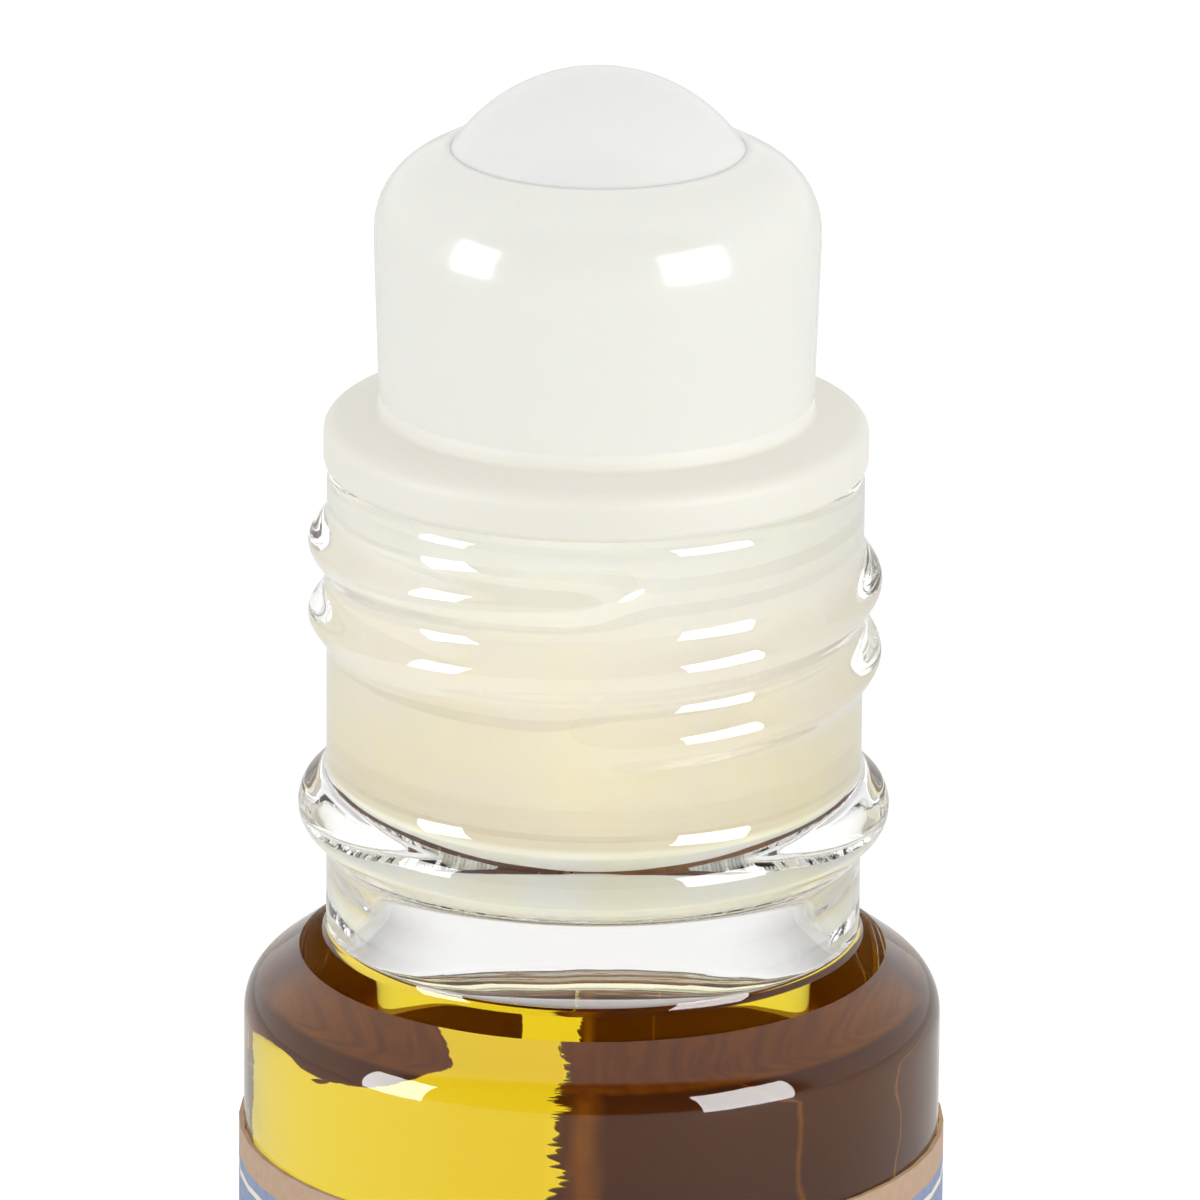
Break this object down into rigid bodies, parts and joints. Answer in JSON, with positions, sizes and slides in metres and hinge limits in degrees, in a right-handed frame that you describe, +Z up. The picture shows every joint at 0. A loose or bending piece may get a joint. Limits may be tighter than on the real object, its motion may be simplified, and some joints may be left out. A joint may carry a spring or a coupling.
{
  "type": "roll on bottle",
  "caption": "Clear glass roll-on bottle with threaded neck, snap-in roller insert with a rolling ball, oil and wrap label, shown without its cap.",
  "frame": {"origin": "centre of the base, on the plane the bottle stands on", "axes": "+Z up the bottle's axis towards the ball, -Y towards the front of the label, +X to the right of it"},
  "size_m": [0.0202, 0.0202, 0.0835],
  "materials": {
    "clear_glass": "clear, fire polished",
    "milky_polyethylene": "milky, moulded, satin gloss",
    "milky_polypropylene": "milky, polished ball",
    "golden_oil": "clear golden liquid",
    "label_paper": "printed, matt, kraft-coloured top band over blue"
  },
  "bodies": {
    "bottle": {"glass_bottle": "clear_glass", "roller_housing": "milky_polyethylene", "oil_fill": "golden_oil", "wrap_label": "label_paper"},
    "ball": {"roller_ball": "milky_polypropylene"}
  },
  "joints": [
    {"name": "ball_roll", "type": "hinge", "parent": "bottle", "child": "ball", "pos_m": [0, 0, 0.07855], "axis": [1, 0, 0], "continuous": true}
  ]
}
